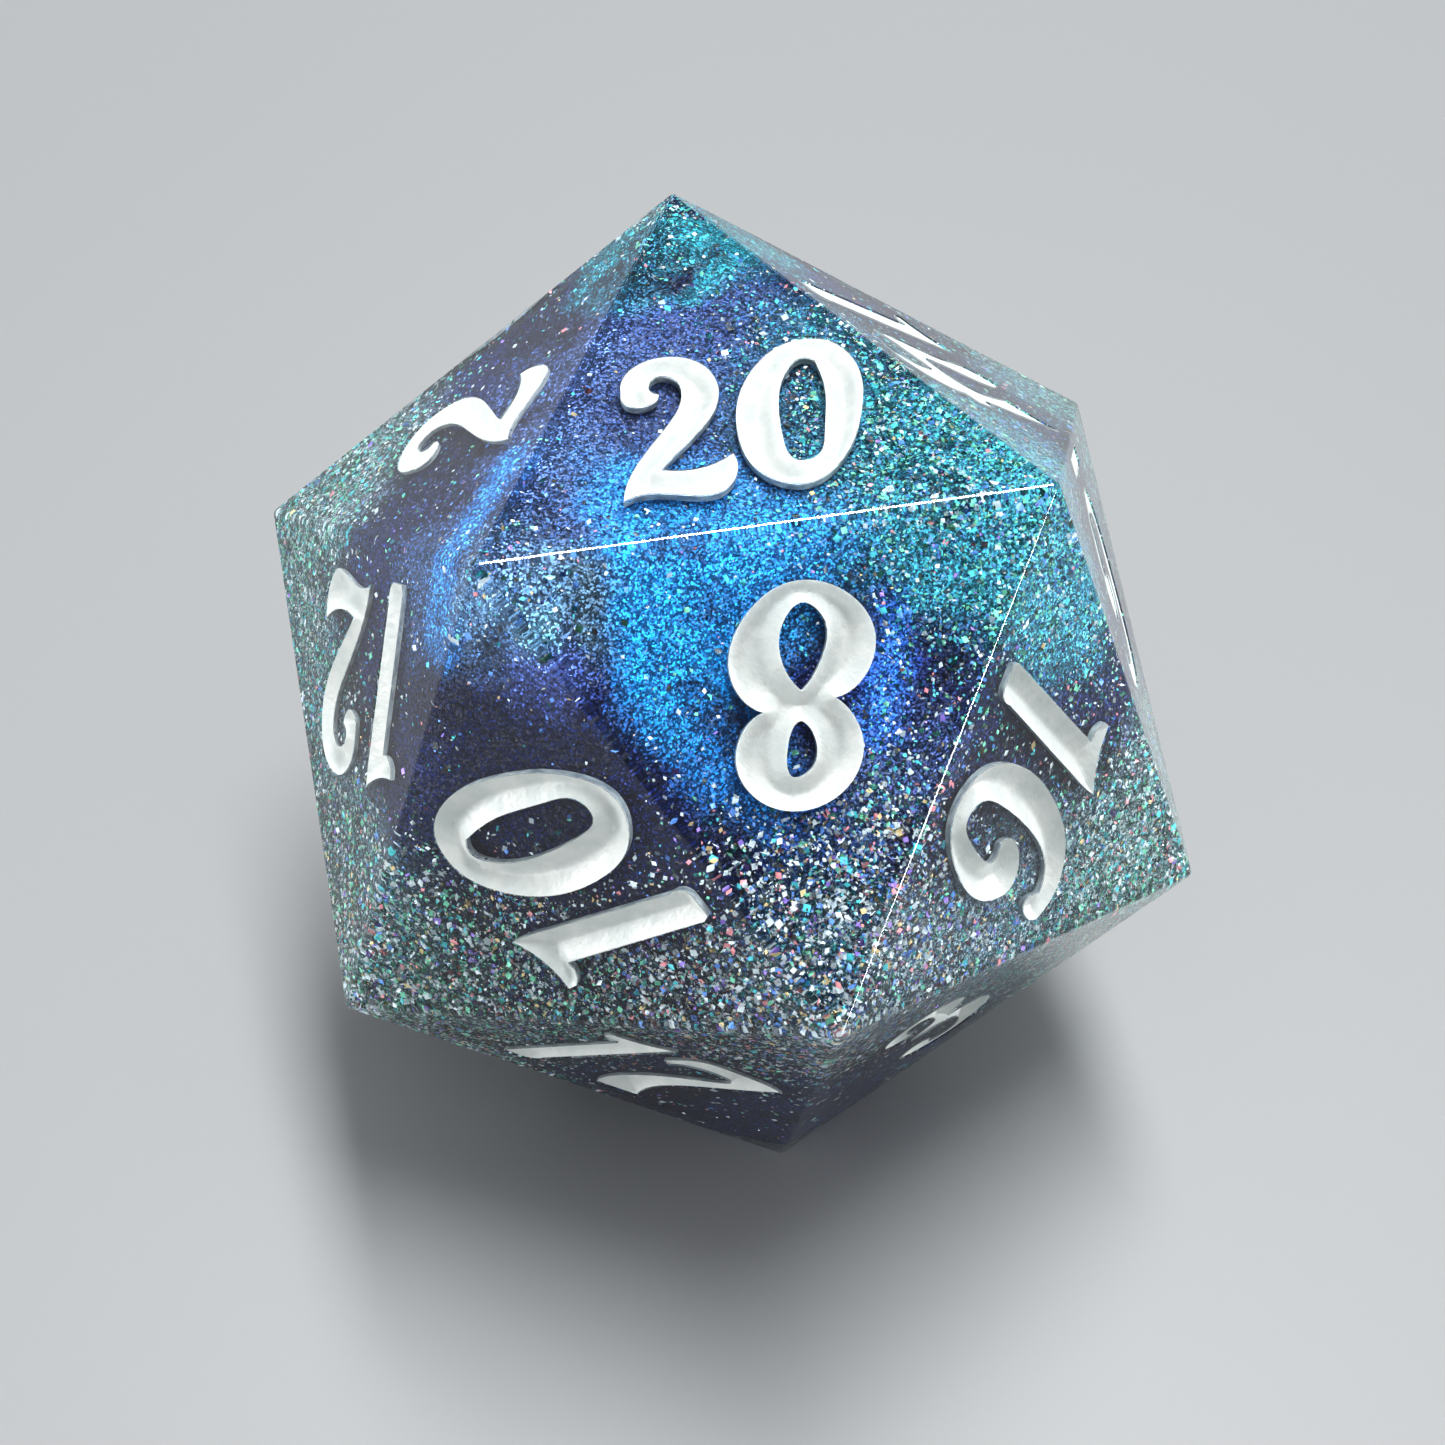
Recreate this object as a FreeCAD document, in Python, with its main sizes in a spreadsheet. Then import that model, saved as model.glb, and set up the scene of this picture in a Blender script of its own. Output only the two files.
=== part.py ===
# Twenty-sided die, cast in clear resin around a dark pigment core with mica and glitter,
# with a painted number sunk into each face.
# Millimetres, +Z up. The die rests on its 1 face, the 20 face is up, the edge between the
# 20 and the 8 faces -Y, and the origin is under the centre, on the table.

import FreeCAD, Part
import math
import os

from FreeCAD import Placement, Rotation, Vector

DIMENSIONS = {
    "face_to_face": 21.0,        # from a face to the one opposite
    "edge_round": 0.2,           # radius left on the edges by polishing
    "digit_height": 5.3,
    "groove_depth": 0.4,         # how deep the numbers are sunk
    "paint_recess": 0.05,        # the paint stops just short of the face
    "core_radius": 8.4,
    "plume_length": 4.8,         # half-axes of the two mica plumes
    "plume_width": 4.2,
    "plume_thickness": 2.0,
    "plume_distance": 7.0,       # from the die's centre to a plume's centre
    "flake_radius": 0.22,
    "flake_thickness": 0.04,
    "flake_clearance": 0.12,     # resin left between a flake and its neighbours
    "flake_inner_reach": 9.5,    # the nearest a flake comes to the die's centre
    "flake_count": 72,
    "underline_length": 2.6,     # the bar that tells 6 from 9
    "underline_width": 0.5,
}

DIGIT_GAP = 0.03                 # all in digit heights, as the outlines below are
PAIR_DROP = 0.08                 # two digits sit a little low, where the face is wider
SINGLE_SHIFT = -0.05             # a lone digit leans right, so it starts a little left
TOP_NUMBER_SCALE = 0.92          # "20" is the widest number, so it is cut smaller

GOLDEN = (1 + math.sqrt(5)) / 2

# Each vertex is on one of four rings, at an angle around Z.
VERTEX_RINGS = {
    "A": ("top", 90), "B": ("top", 210), "C": ("top", 330),
    "D": ("upper", 150), "P": ("upper", 270), "G": ("upper", 30),
    "E": ("lower", 210), "F": ("lower", 330), "Q": ("lower", 90),
    "H": ("bottom", 270), "R": ("bottom", 30), "S": ("bottom", 150),
}

# Each face has three vertices, and its number stands upright towards the first.
# Opposite faces add up to 21.
FACE_VERTICES = {
    1: "HRS", 2: "DAB", 3: "PFH", 4: "QAG", 5: "DQS", 6: "FCG", 7: "EHS", 8: "PBC", 9: "GFR",
    10: "EBP", 11: "GQR", 12: "EBD", 13: "QRS", 14: "GAC", 15: "DES", 16: "FCP", 17: "PEH",
    18: "QAD", 19: "FHR", 20: "ABC",
}

# A digit is one or more closed outlines, the first the outside and the others its counters.
# An outline is a chain of curves that meet at corners. Each curve lists its points but its
# last, which is the next curve's first. One curve alone is smooth all the way round, or
# has one corner if it comes back to its first point. Baseline 0, height 1.
DIGITS = {
    "0": [
        [[(0.475, 1.0), (0.62, 0.93), (0.685, 0.74), (0.64, 0.47), (0.48, 0.15), (0.255, 0.0),
          (0.075, 0.09), (0.0, 0.37), (0.07, 0.68), (0.24, 0.91)]],
        [[(0.485, 0.83), (0.49, 0.62), (0.43, 0.36), (0.33, 0.17), (0.25, 0.17), (0.21, 0.33),
          (0.235, 0.55), (0.33, 0.79), (0.42, 0.86), (0.485, 0.83)]],
    ],
    "1": [
        [[(0.382, 1.0), (0.37, 0.90)], [(0.345, 0.79)], [(0.185, 0.09), (0.17, 0.025)],
         [(0.13, 0.0)], [(0.015, 0.0)], [(0.0, 0.04)], [(0.165, 0.81), (0.10, 0.815)],
         [(0.055, 0.86)], [(0.06, 0.908), (0.195, 0.918)]],
    ],
    "2": [
        [[(0.12, 0.78), (0.21, 0.95), (0.36, 1.0), (0.53, 0.94), (0.60, 0.78), (0.55, 0.58),
          (0.40, 0.40)], [(0.22, 0.22), (0.40, 0.20)],
         [(0.58, 0.27), (0.56, 0.11), (0.47, 0.02), (0.34, 0.02), (0.20, 0.06)],
         [(0.0, 0.04), (0.09, 0.25), (0.29, 0.50), (0.41, 0.70), (0.40, 0.82), (0.32, 0.86),
          (0.26, 0.80)], [(0.30, 0.74), (0.24, 0.67), (0.16, 0.67)]],
    ],
    "3": [
        [[(0.14, 0.80), (0.22, 0.95), (0.38, 1.0), (0.54, 0.94), (0.60, 0.79), (0.53, 0.64)],
         [(0.42, 0.565), (0.55, 0.49), (0.585, 0.32), (0.50, 0.12), (0.28, 0.0), (0.09, 0.06),
          (0.0, 0.20)], [(0.09, 0.31), (0.17, 0.29), (0.19, 0.22)],
         [(0.16, 0.16), (0.27, 0.12), (0.37, 0.23), (0.39, 0.38), (0.30, 0.50)],
         [(0.19, 0.54), (0.22, 0.59), (0.36, 0.66), (0.41, 0.78), (0.37, 0.87), (0.29, 0.86)],
         [(0.30, 0.77), (0.25, 0.70), (0.17, 0.72)]],
    ],
    "4": [
        [[(0.27, 1.0), (0.32, 0.90), (0.30, 0.72)], [(0.20, 0.39), (0.38, 0.41)],
         [(0.47, 0.80), (0.56, 0.86)], [(0.70, 1.0), (0.66, 0.80)], [(0.58, 0.43)],
         [(0.66, 0.45)], [(0.63, 0.29)], [(0.55, 0.27), (0.49, 0.08), (0.36, 0.0)],
         [(0.17, 0.03), (0.30, 0.09)], [(0.34, 0.25), (0.18, 0.23)],
         [(0.0, 0.17), (0.04, 0.36), (0.13, 0.62), (0.14, 0.85)]],
    ],
    "5": [
        [[(0.22, 0.96), (0.40, 0.93)], [(0.62, 1.0)], [(0.60, 0.85), (0.50, 0.79), (0.34, 0.80)],
         [(0.27, 0.62), (0.42, 0.61), (0.57, 0.50), (0.56, 0.28), (0.42, 0.08), (0.20, 0.0),
          (0.05, 0.08), (0.0, 0.20)], [(0.09, 0.30), (0.17, 0.28), (0.19, 0.21)],
         [(0.17, 0.15), (0.27, 0.15), (0.36, 0.27), (0.37, 0.42), (0.28, 0.50)],
         [(0.09, 0.48)]],
    ],
    "6": [
        [[(0.58, 0.955), (0.63, 0.88), (0.595, 0.79)],
         [(0.50, 0.865), (0.36, 0.82), (0.25, 0.62), (0.20, 0.35), (0.24, 0.15), (0.33, 0.12),
          (0.43, 0.25), (0.455, 0.41)], [(0.36, 0.42), (0.32, 0.50), (0.38, 0.61), (0.50, 0.645)],
         [(0.58, 0.59), (0.635, 0.43), (0.57, 0.20), (0.33, 0.0), (0.10, 0.08), (0.0, 0.36),
          (0.08, 0.72), (0.26, 0.95), (0.44, 1.0)]],
    ],
    "7": [
        [[(0.06, 0.86), (0.16, 0.98), (0.34, 0.98), (0.52, 0.96)],
         [(0.65, 0.90), (0.54, 0.70), (0.40, 0.48), (0.33, 0.28), (0.35, 0.10)], [(0.39, 0.0)],
         [(0.15, 0.0), (0.10, 0.20), (0.15, 0.40), (0.30, 0.62), (0.42, 0.80), (0.28, 0.84),
          (0.17, 0.82)], [(0.10, 0.74), (0.04, 0.78)]],
    ],
    "8": [
        [[(0.54, 0.55), (0.655, 0.64), (0.69, 0.78), (0.60, 0.94), (0.42, 1.0), (0.22, 0.93),
          (0.12, 0.76), (0.14, 0.63)],
         [(0.215, 0.53), (0.06, 0.44), (0.0, 0.27), (0.10, 0.08), (0.33, 0.0), (0.56, 0.12),
          (0.665, 0.33), (0.625, 0.48)]],
        [[(0.375, 0.61), (0.325, 0.72), (0.37, 0.83), (0.45, 0.85), (0.465, 0.75), (0.375, 0.61)]],
        [[(0.36, 0.48), (0.43, 0.34), (0.40, 0.17), (0.30, 0.095), (0.22, 0.17), (0.24, 0.33),
          (0.36, 0.48)]],
    ],
}

doc = FreeCAD.newDocument("die")


def make_sheet():
    """Writes the driving dimensions and returns the sheet."""
    sheet = doc.addObject("Spreadsheet::Sheet", "dimensions")
    for row, (name, value) in enumerate(DIMENSIONS.items(), start=1):
        sheet.set("A%d" % row, name)
        sheet.set("B%d" % row, str(value))
        sheet.setAlias("B%d" % row, name)
    doc.recompute()
    return sheet


sheet = make_sheet()


def size(name):
    """A driving dimension, as a plain number."""
    return float(sheet.get(name))


def bind(thing, **expressions):
    """Binds properties of a document object to cells of the sheet."""
    for name, expression in expressions.items():
        thing.setExpression(name, expression)


def labelled(kind, label):
    """Adds a document object under the name that a person would look for."""
    thing = doc.addObject(kind, label)
    thing.Label = label
    return thing


# --- the icosahedron ---------------------------------------------------------------------

def vertex_points(across):
    """The twelve vertices of an icosahedron that measures this much from face to face."""
    edge = across * math.sqrt(3) / GOLDEN ** 2
    small_ring = edge / math.sqrt(3)
    large_ring = small_ring * GOLDEN
    top = across / 2
    upper = top - small_ring
    rings = {"top": (small_ring, top), "upper": (large_ring, upper),
             "lower": (large_ring, -upper), "bottom": (small_ring, -top)}
    centre = Vector(0, 0, size("face_to_face") / 2)
    points = {}
    for name, (ring, degrees) in VERTEX_RINGS.items():
        radius, height = rings[ring]
        angle = math.radians(degrees)
        points[name] = centre + Vector(radius * math.cos(angle), radius * math.sin(angle), height)
    return points


OUTER_POINTS = vertex_points(size("face_to_face"))
DIE_CENTRE = Vector(0, 0, size("face_to_face") / 2)


def face_centre(number):
    return sum((OUTER_POINTS[name] for name in FACE_VERTICES[number]), Vector()) * (1 / 3)


FACE_NORMALS = {number: (face_centre(number) - DIE_CENTRE).normalize()
                for number in FACE_VERTICES}


def icosahedron(across):
    """A sharp-edged icosahedron as one solid."""
    points = vertex_points(across)
    faces = []
    for number, names in FACE_VERTICES.items():
        first, second, third = (points[name] for name in names)
        if (second - first).cross(third - first).dot(FACE_NORMALS[number]) < 0:
            second, third = third, second
        faces.append(Part.Face(Part.makePolygon([first, second, third, first])))
    return Part.makeSolid(Part.makeShell(faces))


def make_rounded_form():
    """The outer form: a slightly smaller icosahedron grown outwards by the edge radius."""
    sharp_form = labelled("Part::Feature", "sharp_form")
    sharp_form.Shape = icosahedron(size("face_to_face") - 2 * size("edge_round"))
    sharp_form.Placement = Placement()
    rounded_form = labelled("Part::Offset", "rounded_form")
    rounded_form.Source = sharp_form
    rounded_form.Mode = "Skin"
    rounded_form.Join = "Arc"
    bind(rounded_form, Value="dimensions.edge_round")
    return rounded_form


# --- numbers ------------------------------------------------------------------------------

def turned(outlines, width):
    """A digit turned half a turn in its own box."""
    return [[[(width - x, 1 - y) for x, y in curve] for curve in outline]
            for outline in outlines]


def digit_width(digit):
    return max(x for curve in DIGITS[digit][0] for x, _ in curve)


def digit_outlines(digit):
    """The outlines of a digit and its width. A 9 is a 6 turned over."""
    if digit == "9":
        width = digit_width("6")
        return turned(DIGITS["6"], width), width
    return DIGITS[digit], digit_width(digit)


def number_outlines(number):
    """The outlines of a whole number in millimetres, about the middle of its face."""
    text = str(number)
    scale = size("digit_height")
    if number == 20:
        scale *= TOP_NUMBER_SCALE
    glyphs = [digit_outlines(digit) for digit in text]
    total = sum(width for _, width in glyphs) + DIGIT_GAP * (len(text) - 1)
    start = -total / 2
    drop = 0.5
    if len(text) == 1:
        start += SINGLE_SHIFT
    else:
        drop += PAIR_DROP
    placed = []
    for outlines, width in glyphs:
        for outline in outlines:
            placed.append([[Vector((start + x) * scale, (y - drop) * scale, 0) for x, y in curve]
                           for curve in outline])
        start += width + DIGIT_GAP
    if number in (6, 9):
        placed.append(underline_outline())
    return placed


def underline_outline():
    """The bar under a 6 or a 9."""
    half = size("underline_length") / 2
    low = -0.5 * size("digit_height") - 2.1 * size("underline_width")
    high = low + size("underline_width")
    corners = [(-half, low), (half, low), (half, high), (-half, high)]
    return [[Vector(x, y, 0)] for x, y in corners]


def smooth_curve(points, closed):
    curve = Part.BSplineCurve()
    curve.interpolate(Points=points, PeriodicFlag=closed)
    return curve


def outline_geometry(outline):
    """Line segments and splines for one closed outline."""
    if len(outline) == 1:
        points = outline[0]
        returns = points[0].isEqual(points[-1], 1e-9)
        return [smooth_curve(points, not returns)]
    geometry = []
    for index, curve in enumerate(outline):
        following = outline[(index + 1) % len(outline)][0]
        points = curve + [following]
        if len(points) == 2:
            geometry.append(Part.LineSegment(points[0], points[1]))
        else:
            geometry.append(smooth_curve(points, False))
    return geometry


def face_placement(number):
    """Puts +Z along the face's outward normal and +Y towards the number's upper vertex,
    with the origin at the level where the paint stops."""
    centre = face_centre(number)
    normal = FACE_NORMALS[number]
    upwards = (OUTER_POINTS[FACE_VERTICES[number][0]] - centre).normalize()
    rightwards = upwards.cross(normal)
    rotation = Rotation(rightwards, upwards, normal, "ZXY")
    return Placement(centre - normal * size("paint_recess"), rotation)


def make_number_sketch(number):
    sketch = labelled("Sketcher::SketchObject", "outline_%02d" % number)
    for outline in number_outlines(number):
        sketch.addGeometry(outline_geometry(outline), False)
    sketch.Placement = face_placement(number)
    return sketch


def extrude(sketch, label, outwards, inwards):
    prism = labelled("Part::Extrusion", label)
    prism.Base = sketch
    prism.DirMode = "Normal"
    prism.Solid = True
    prism.FaceMakerClass = "Part::FaceMakerBullseye"
    bind(prism, LengthFwd=outwards, LengthRev=inwards)
    return prism


def make_number(number):
    """The paint in a number's groove, and the cutter that makes the groove."""
    sketch = make_number_sketch(number)
    depth = "dimensions.groove_depth - dimensions.paint_recess"
    paint = extrude(sketch, "numeral_%02d" % number, "0", depth)
    cutter = extrude(sketch, "groove_cutter_%02d" % number, "2 * dimensions.paint_recess", depth)
    return paint, cutter


# --- what is cast inside ------------------------------------------------------------------

def make_plume(label, direction):
    """A flat egg of mica, with its thin side facing outwards along the direction."""
    outwards = Vector(*direction).normalize()
    plume = labelled("Part::Ellipsoid", label)
    bind(plume, Radius1="dimensions.plume_thickness", Radius2="dimensions.plume_length",
         Radius3="dimensions.plume_width")
    turn = Rotation(Vector(0, 0, 1), outwards)
    plume.Placement = Placement(DIE_CENTRE + outwards * size("plume_distance"), turn)
    return plume


def make_core(plumes):
    """The pigment core: a ball with the two plumes taken out of it."""
    ball = labelled("Part::Sphere", "core_ball")
    bind(ball, Radius="dimensions.core_radius")
    ball.Placement = Placement(DIE_CENTRE, Rotation())
    core = labelled("Part::Cut", "pigment_core")
    core.Base = ball
    core.Tool = compound("plume_cutter", plumes)
    return core


def compound(label, members):
    group = labelled("Part::Compound", label)
    group.Links = members
    return group


def flake_direction(index, count):
    """Even spacing over a sphere, on a golden-angle spiral."""
    height = 1 - 2 * (index + 0.5) / count
    angle = 2 * math.pi * index / GOLDEN
    across = math.sqrt(1 - height ** 2)
    return Vector(across * math.cos(angle), across * math.sin(angle), height)


def flake_reach(direction):
    """How far out a flake's centre may lie, clear of the grooves in every face."""
    margin = size("groove_depth") + size("flake_clearance") + size("flake_radius")
    facing = max(direction.dot(normal) for normal in FACE_NORMALS.values())
    return (size("face_to_face") / 2 - margin) / facing


def make_flakes():
    """Thin hexagonal flakes, tumbled every way, in the clear layer around the core."""
    count = int(size("flake_count"))
    flakes = []
    for index in range(count):
        direction = flake_direction(index, count)
        spread = (index * GOLDEN) % 1
        nearest = size("flake_inner_reach")
        distance = nearest + spread * max(0, flake_reach(direction) - nearest)
        flake = labelled("Part::Prism", "flake_%02d" % index)
        flake.Polygon = 6
        bind(flake, Circumradius="dimensions.flake_radius", Height="dimensions.flake_thickness")
        tumble = Rotation(Vector(0, 0, 1), flake_direction(index * 7 % count, count))
        flake.Placement = Placement(DIE_CENTRE + direction * distance, tumble)
        flakes.append(flake)
    return compound("glitter_flakes", flakes)


# --- the assembly -------------------------------------------------------------------------

rounded_form = make_rounded_form()
numbers = {number: make_number(number) for number in FACE_VERTICES}
blue_plume = make_plume("blue_mica_plume", (-0.45, -0.70, 0.55))
teal_plume = make_plume("teal_mica_plume", (0.62, 0.28, 0.73))
pigment_core = make_core([blue_plume, teal_plume])
glitter_flakes = make_flakes()

cutters = [cutter for _, cutter in numbers.values()]
resin_block = labelled("Part::Cut", "resin_block")
resin_block.Base = rounded_form
resin_block.Tool = compound("resin_cutters", cutters + [pigment_core, blue_plume, teal_plume,
                                                        glitter_flakes])
doc.recompute()

pieces = [resin_block, pigment_core, blue_plume, teal_plume, glitter_flakes]
pieces += [paint for paint, _ in numbers.values()]

for thing in doc.Objects:
    if "Invalid" in thing.State or "Error" in thing.State:
        raise RuntimeError("%s did not build: %s" % (thing.Label, thing.State))
for piece in pieces:
    if piece.Shape.isNull() or not piece.Shape.isValid():
        raise RuntimeError("%s has no valid shape" % piece.Label)
    print("%-18s %4d solids %10.3f mm3" % (piece.Label, len(piece.Shape.Solids),
                                           piece.Shape.Volume))

os.makedirs("parts", exist_ok=True)
for piece in pieces:
    piece.Shape.exportStep("parts/%s.step" % piece.Label)
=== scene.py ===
import math

import bmesh
import bpy
import numpy as np
from mathutils import Matrix, Vector
from mathutils.geometry import delaunay_2d_cdt


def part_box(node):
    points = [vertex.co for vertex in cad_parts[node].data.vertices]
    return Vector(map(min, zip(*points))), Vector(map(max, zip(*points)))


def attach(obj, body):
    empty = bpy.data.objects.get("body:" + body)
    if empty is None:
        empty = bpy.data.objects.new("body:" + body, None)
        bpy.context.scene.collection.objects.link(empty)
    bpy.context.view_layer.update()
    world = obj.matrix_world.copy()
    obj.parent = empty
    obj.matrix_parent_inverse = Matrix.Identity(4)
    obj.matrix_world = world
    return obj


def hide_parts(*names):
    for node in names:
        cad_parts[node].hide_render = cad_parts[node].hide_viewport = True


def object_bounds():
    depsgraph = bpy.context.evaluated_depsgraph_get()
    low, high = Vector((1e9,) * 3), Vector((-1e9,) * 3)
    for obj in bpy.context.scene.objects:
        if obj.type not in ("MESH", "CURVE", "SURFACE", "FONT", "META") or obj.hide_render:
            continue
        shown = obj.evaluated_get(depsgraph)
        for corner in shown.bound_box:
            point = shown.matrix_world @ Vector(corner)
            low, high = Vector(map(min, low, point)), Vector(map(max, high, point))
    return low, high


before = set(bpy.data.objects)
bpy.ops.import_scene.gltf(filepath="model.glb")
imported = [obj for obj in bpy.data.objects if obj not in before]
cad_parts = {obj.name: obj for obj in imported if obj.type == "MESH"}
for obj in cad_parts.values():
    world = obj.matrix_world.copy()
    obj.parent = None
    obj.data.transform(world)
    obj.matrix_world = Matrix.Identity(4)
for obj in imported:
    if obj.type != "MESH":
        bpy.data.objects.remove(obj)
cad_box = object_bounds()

MM = 0.001
GOLDEN = (1 + math.sqrt(5)) / 2
ACROSS = cad_box[1][2] - cad_box[0][2]              # the die from face to face
CENTRE = np.array([0, 0, (cad_box[0][2] + cad_box[1][2]) / 2])
RNG = np.random.default_rng(20)

# --- the die's geometry, in metres about its centre ---------------------------------------

# Each vertex is on one of four rings, at an angle around Z, as the CAD model names them.
VERTEX_RINGS = {
    "A": ("top", 90), "B": ("top", 210), "C": ("top", 330),
    "D": ("upper", 150), "P": ("upper", 270), "G": ("upper", 30),
    "E": ("lower", 210), "F": ("lower", 330), "Q": ("lower", 90),
    "H": ("bottom", 270), "R": ("bottom", 30), "S": ("bottom", 150),
}


def vertex_points():
    small = ACROSS / GOLDEN ** 2
    large = small * GOLDEN
    rings = {"top": (small, ACROSS / 2), "upper": (large, ACROSS / 2 - small),
             "lower": (large, small - ACROSS / 2), "bottom": (small, -ACROSS / 2)}
    points = {}
    for name, (ring, degrees) in VERTEX_RINGS.items():
        radius, height = rings[ring]
        angle = math.radians(degrees)
        points[name] = np.array([radius * math.cos(angle), radius * math.sin(angle), height])
    return points


VERTICES = vertex_points()


def face_normals():
    """Unit normals of the twenty faces: the middles of every three vertices an edge apart."""
    points = list(VERTICES.values())
    edge = ACROSS / GOLDEN ** 2 * math.sqrt(3)
    normals = []
    for i in range(12):
        for j in range(i):
            for k in range(j):
                sides = [np.linalg.norm(points[a] - points[b]) for a, b in ((i, j), (j, k), (k, i))]
                if max(sides) < edge * 1.01:
                    middle = points[i] + points[j] + points[k]
                    normals.append(middle / np.linalg.norm(middle))
    return np.array(normals)


NORMALS = face_normals()


def towards(**weights):
    """A point in millimetres about the centre, as a weighted mix of named vertices."""
    return sum(VERTICES[name] * weight for name, weight in weights.items()) / MM


def face_reach(directions, inradius):
    """Distance from the centre to a sharp icosahedron's surface, along unit directions."""
    return inradius / (directions @ NORMALS.T).max(axis=1)


def rounded_reach(directions, inradius, power):
    """The same for one with rounded edges and corners: the lower the power, the rounder."""
    facing = np.clip(directions @ NORMALS.T, 0, None)
    return inradius / (facing ** power).sum(axis=1) ** (1 / power)


# --- node helpers --------------------------------------------------------------------------

class Graph:
    """A material's node tree, built one node at a time."""

    def __init__(self, name):
        self.material = bpy.data.materials.new(name)
        self.material.use_nodes = True
        self.tree = self.material.node_tree
        self.tree.nodes.clear()
        self.output = self.tree.nodes.new("ShaderNodeOutputMaterial")

    def add(self, kind, settings=None, **inputs):
        node = self.tree.nodes.new("ShaderNode" + kind)
        for key, value in (settings or {}).items():
            setattr(node, key, value)
        for key, value in inputs.items():
            self.feed(node.inputs[key.replace("_", " ")], value)
        return node

    def feed(self, socket, value):
        if isinstance(value, bpy.types.NodeSocket):
            self.tree.links.new(value, socket)
        else:
            socket.default_value = value

    def math(self, operation, first, second=0.0, third=0.0):
        node = self.add("Math", {"operation": operation})
        for socket, value in zip(node.inputs, (first, second, third)):
            self.feed(socket, value)
        return node.outputs[0]

    def vector(self, operation, first, second=(0, 0, 0)):
        node = self.add("VectorMath", {"operation": operation})
        self.feed(node.inputs[0], first)
        self.feed(node.inputs[1], second)
        return node.outputs["Value" if operation in ("DISTANCE", "DOT_PRODUCT") else "Vector"]

    def scaled(self, vector, factor):
        node = self.add("VectorMath", {"operation": "SCALE"})
        self.feed(node.inputs[0], vector)
        self.feed(node.inputs["Scale"], factor)
        return node.outputs["Vector"]

    def ramp(self, value, low, high, to_low=0.0, to_high=1.0):
        node = self.add("MapRange", {"interpolation_type": "SMOOTHSTEP"})
        for key, item in (("Value", value), ("From Min", low), ("From Max", high),
                          ("To Min", to_low), ("To Max", to_high)):
            self.feed(node.inputs[key], item)
        return node.outputs["Result"]

    def mix(self, factor, first, second, blend="MIX"):
        node = self.add("Mix", {"data_type": "RGBA", "blend_type": blend})
        factor_in, first_in, second_in, colour_out = 0, 6, 7, 2     # its sockets for colours
        self.feed(node.inputs[factor_in], factor)
        self.feed(node.inputs[first_in], first)
        self.feed(node.inputs[second_in], second)
        return node.outputs[colour_out]

    def noise(self, vector, scale, detail=4.0, roughness=0.55, colour=False):
        node = self.add("TexNoise", Vector=vector, Scale=scale, Detail=detail, Roughness=roughness)
        return node.outputs["Color" if colour else "Fac"]

    def cells(self, vector, scale):
        """A random colour for each cell of a grain."""
        node = self.add("TexVoronoi", Vector=vector, Scale=scale)
        return node.outputs["Color"]

    def line_distance(self, place, start, end):
        """Distance of a place from the line between two points."""
        side = end - start
        offset = self.vector("SUBTRACT", place, tuple(start))
        along = self.vector("DOT_PRODUCT", offset, tuple(side / (side @ side)))
        share = self.math("MINIMUM", self.math("MAXIMUM", along, 0.0), 1.0)
        step = self.add("CombineXYZ", X=share, Y=share, Z=share).outputs[0]
        return self.vector("DISTANCE", offset, self.vector("MULTIPLY", step, tuple(side)))

    def millimetres(self):
        """The place in the object, in millimetres about the die's centre."""
        place = self.add("TexCoord").outputs["Object"]
        centred = self.vector("SUBTRACT", place, tuple(CENTRE))
        return self.scaled(centred, 1 / MM)

    def finish(self, surface):
        self.feed(self.output.inputs["Surface"], surface)
        return self.material


def colour(red, green, blue):
    """A linear colour from the 0 to 255 values that a screen shows."""
    def linear(value):
        value /= 255
        return value / 12.92 if value <= 0.04045 else ((value + 0.055) / 1.055) ** 2.4
    return (linear(red), linear(green), linear(blue), 1.0)


# --- materials -----------------------------------------------------------------------------

RESIN_IOR = 1.55
RESIN_TINT = (0.90, 0.955, 0.97, 1)
SHADOW_TINT = (0.93, 0.97, 0.98, 1)


def resin_material():
    """Clear casting resin, hand polished: fine wiping marks and a slight waviness. It bends
    what is seen through it, and lets the lamps' light straight in to what it holds."""
    g = Graph("clear_resin")
    place = g.millimetres()
    waves = g.noise(place, 0.35, 2.0)
    marks = g.noise(g.vector("MULTIPLY", place, (0.8, 7, 3)), 1.0, 3.0)
    height = g.math("MULTIPLY_ADD", marks, 0.0006, g.math("MULTIPLY", waves, 0.02))
    bump = g.add("Bump", Strength=0.35, Distance=MM, Height=height)
    resin = g.add("BsdfPrincipled", Base_Color=RESIN_TINT, Roughness=0.015, IOR=RESIN_IOR,
                  Transmission_Weight=1.0, Normal=bump.outputs[0])
    clear = g.add("BsdfTransparent", Color=SHADOW_TINT)
    to_lamps = g.add("LightPath").outputs["Is Shadow Ray"]
    mix = g.add("MixShader", Fac=to_lamps)
    g.feed(mix.inputs[1], resin.outputs[0])
    g.feed(mix.inputs[2], clear.outputs[0])
    return g.finish(mix.outputs[0])


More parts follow.
